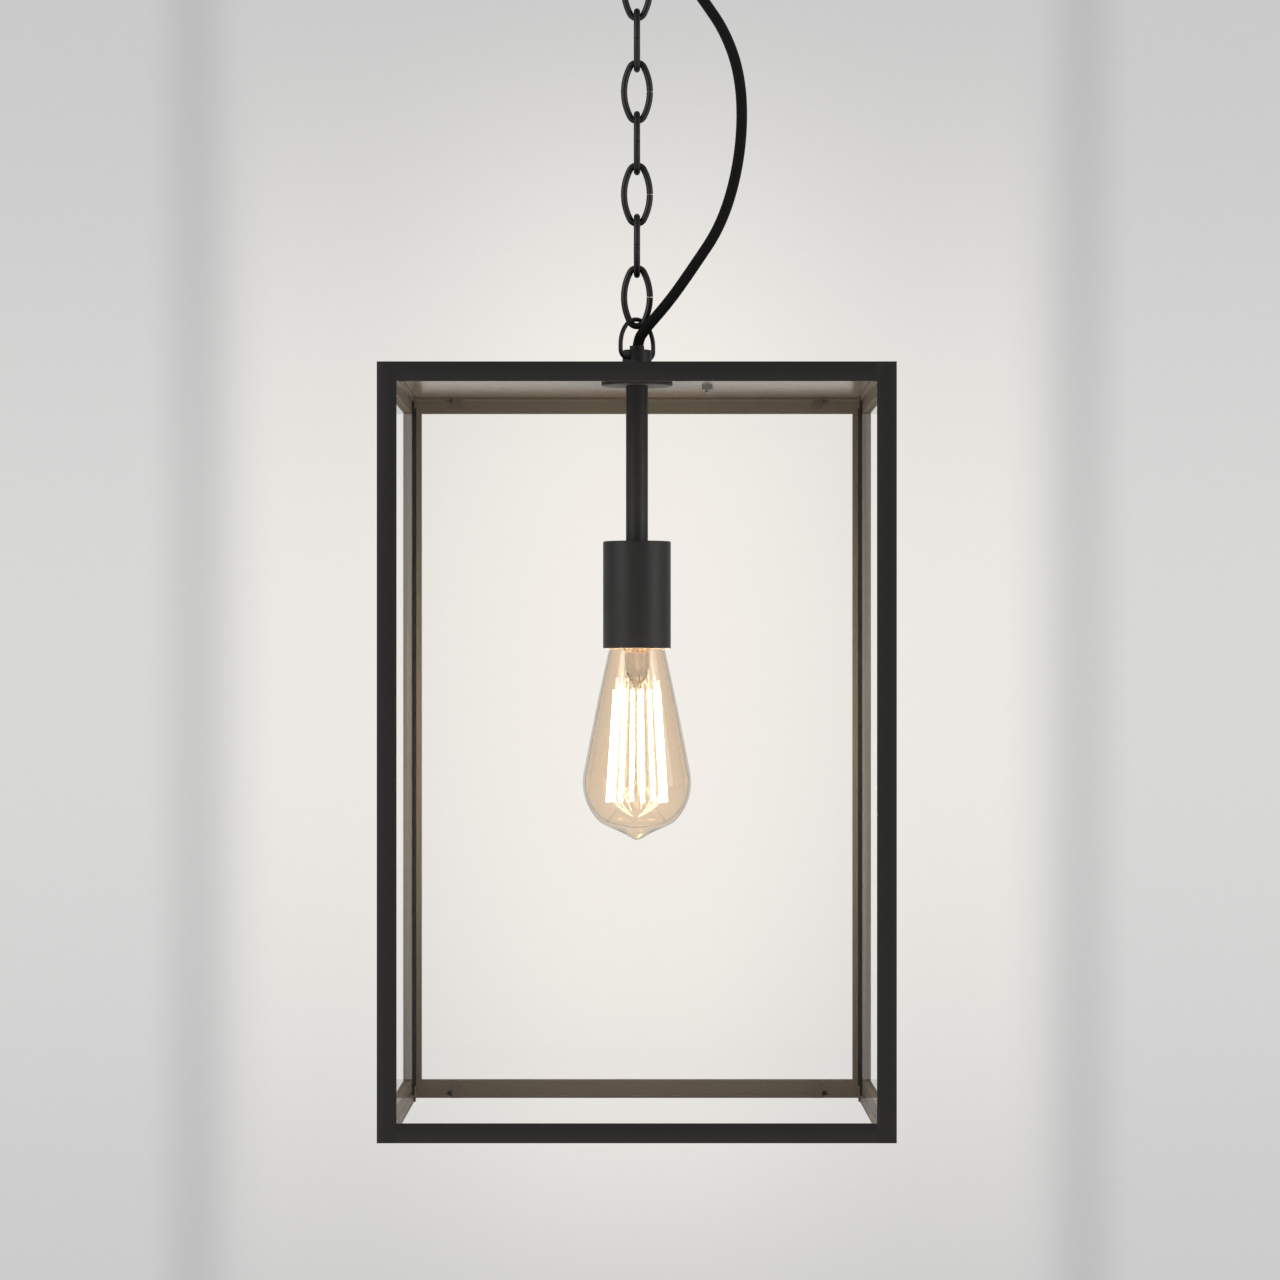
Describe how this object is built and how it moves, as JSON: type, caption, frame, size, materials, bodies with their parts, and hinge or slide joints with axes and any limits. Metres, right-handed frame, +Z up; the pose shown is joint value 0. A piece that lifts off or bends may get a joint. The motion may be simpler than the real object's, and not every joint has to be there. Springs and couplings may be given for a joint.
{
  "type": "hanging lantern",
  "caption": "Box lantern of black steel angle with clear glass sides and an open bottom, one filament lamp inside, hung from a ceiling canopy by a link chain with a braided cord beside it.",
  "frame": {"origin": "centre of the ceiling face of the mounting bracket, between its two screw holes", "axes": "+Z up to the ceiling; the lantern hangs towards -Z; -Y is the front; +X is right seen from the front"},
  "size_m": [0.29, 0.29, 0.7723],
  "materials": {
    "frame_black": "matt fine-texture powder coat",
    "chain_black": "satin black lacquer on steel wire",
    "sleeve_black": "satin black powder coat",
    "clear_glass": "clear float glass",
    "glazing_tape": "black foam glazing tape",
    "zinc_steel": "bright zinc plate",
    "grip_rubber": "black moulded rubber",
    "holder_plastic": "black phenolic moulding",
    "brass": "turned brass",
    "block_plastic": "white polyamide",
    "core_insulation": "smooth PVC insulation",
    "cord_braid": "black textile braid",
    "smoked_glass": "light amber lamp glass",
    "stem_glass": "clear lamp glass",
    "lamp_cap": "nickel-washed brass",
    "cap_insulator": "black vitrite",
    "filament": "phosphor-coated thread, lit",
    "lamp_wire": "drawn nickel wire"
  },
  "bodies": {
    "ceiling": {"canopy_cup": "frame_black", "canopy_hub": "frame_black", "canopy_nipple": "zinc_steel", "canopy_locknut": "zinc_steel", "canopy_cord_grip": "grip_rubber", "mounting_bracket": "zinc_steel", "terminal_block": "block_plastic", "terminal_screws": "zinc_steel", "canopy_cores": "core_insulation"},
    "canopy_bail": {"canopy_bail": "chain_black"},
    "link_8": {"chain_link_8": "chain_black"},
    "link_7": {"chain_link_7": "chain_black"},
    "link_6": {"chain_link_6": "chain_black"},
    "link_5": {"chain_link_5": "chain_black", "power_cord": "cord_braid"},
    "link_4": {"chain_link_4": "chain_black"},
    "link_3": {"chain_link_3": "chain_black"},
    "link_2": {"chain_link_2": "chain_black"},
    "link_1": {"chain_link_1": "chain_black"},
    "lantern_bail": {"lantern_bail": "chain_black"},
    "lantern": {"bottom_rail_back": "frame_black", "bottom_rail_front": "frame_black", "bottom_rail_left": "frame_black", "bottom_rail_right": "frame_black", "earth_screw": "zinc_steel", "glass_back": "clear_glass", "glass_front": "clear_glass", "glass_left": "clear_glass", "glass_right": "clear_glass", "glass_tabs": "frame_black", "glazing_seals": "glazing_tape", "holder_nipple": "zinc_steel", "holder_terminals": "brass", "lampholder_body": "holder_plastic", "lampholder_contact": "brass", "lampholder_shell": "brass", "lampholder_sleeve": "sleeve_black", "lantern_cord_grip": "grip_rubber", "lantern_hub": "frame_black", "lantern_nipple": "zinc_steel", "post_back_left": "frame_black", "post_back_right": "frame_black", "post_front_left": "frame_black", "post_front_right": "frame_black", "stem_cores": "core_insulation", "stem_flange": "frame_black", "stem_tube": "frame_black", "top_plate": "frame_black", "top_rail_back": "frame_black", "top_rail_front": "frame_black", "top_rail_left": "frame_black", "top_rail_right": "frame_black"},
    "lamp": {"lamp_cap_contact": "lamp_cap", "lamp_cap_insulator": "cap_insulator", "lamp_cap_shell": "lamp_cap", "lamp_filaments": "filament", "lamp_glass": "smoked_glass", "lamp_stem": "stem_glass", "lamp_support_wires": "lamp_wire"}
  },
  "joints": [
    {"name": "canopy_bail_swing", "type": "hinge", "parent": "ceiling", "child": "canopy_bail", "pos_m": [0, 0, -0.039], "axis": [1, 0, 0], "range_deg": [-12, 12], "deforming": ["power_cord"]},
    {"name": "link_8_swing", "type": "hinge", "parent": "canopy_bail", "child": "link_8", "pos_m": [0, 0, -0.0583], "axis": [0, 1, 0], "range_deg": [-8, 8], "deforming": ["power_cord"]},
    {"name": "link_7_swing", "type": "hinge", "parent": "link_8", "child": "link_7", "pos_m": [0, 0, -0.0886], "axis": [1, 0, 0], "range_deg": [-8, 8], "deforming": ["power_cord"]},
    {"name": "link_6_swing", "type": "hinge", "parent": "link_7", "child": "link_6", "pos_m": [0, 0, -0.1189], "axis": [0, 1, 0], "range_deg": [-8, 8], "deforming": ["power_cord"]},
    {"name": "link_5_swing", "type": "hinge", "parent": "link_6", "child": "link_5", "pos_m": [0, 0, -0.1492], "axis": [1, 0, 0], "range_deg": [-8, 8], "deforming": ["power_cord"]},
    {"name": "link_4_swing", "type": "hinge", "parent": "link_5", "child": "link_4", "pos_m": [0, 0, -0.1795], "axis": [0, 1, 0], "range_deg": [-8, 8], "deforming": ["power_cord"]},
    {"name": "link_3_swing", "type": "hinge", "parent": "link_4", "child": "link_3", "pos_m": [0, 0, -0.2098], "axis": [1, 0, 0], "range_deg": [-8, 8], "deforming": ["power_cord"]},
    {"name": "link_2_swing", "type": "hinge", "parent": "link_3", "child": "link_2", "pos_m": [0, 0, -0.2401], "axis": [0, 1, 0], "range_deg": [-8, 8], "deforming": ["power_cord"]},
    {"name": "link_1_swing", "type": "hinge", "parent": "link_2", "child": "link_1", "pos_m": [0, 0, -0.2704], "axis": [1, 0, 0], "range_deg": [-8, 8], "deforming": ["power_cord"]},
    {"name": "lantern_bail_swing", "type": "hinge", "parent": "link_1", "child": "lantern_bail", "pos_m": [0, 0, -0.3046], "axis": [1, 0, 0], "range_deg": [-6, 6], "deforming": ["power_cord"]},
    {"name": "lantern_tilt", "type": "hinge", "parent": "lantern_bail", "child": "lantern", "pos_m": [0, 0, -0.3233], "axis": [0.6157, 0.788, 0], "range_deg": [-12, 12], "deforming": ["power_cord"]},
    {"name": "lamp_withdraw", "type": "slide", "parent": "lantern", "child": "lamp", "axis": [0, 0, -1], "range_m": [0, 0.045]}
  ]
}
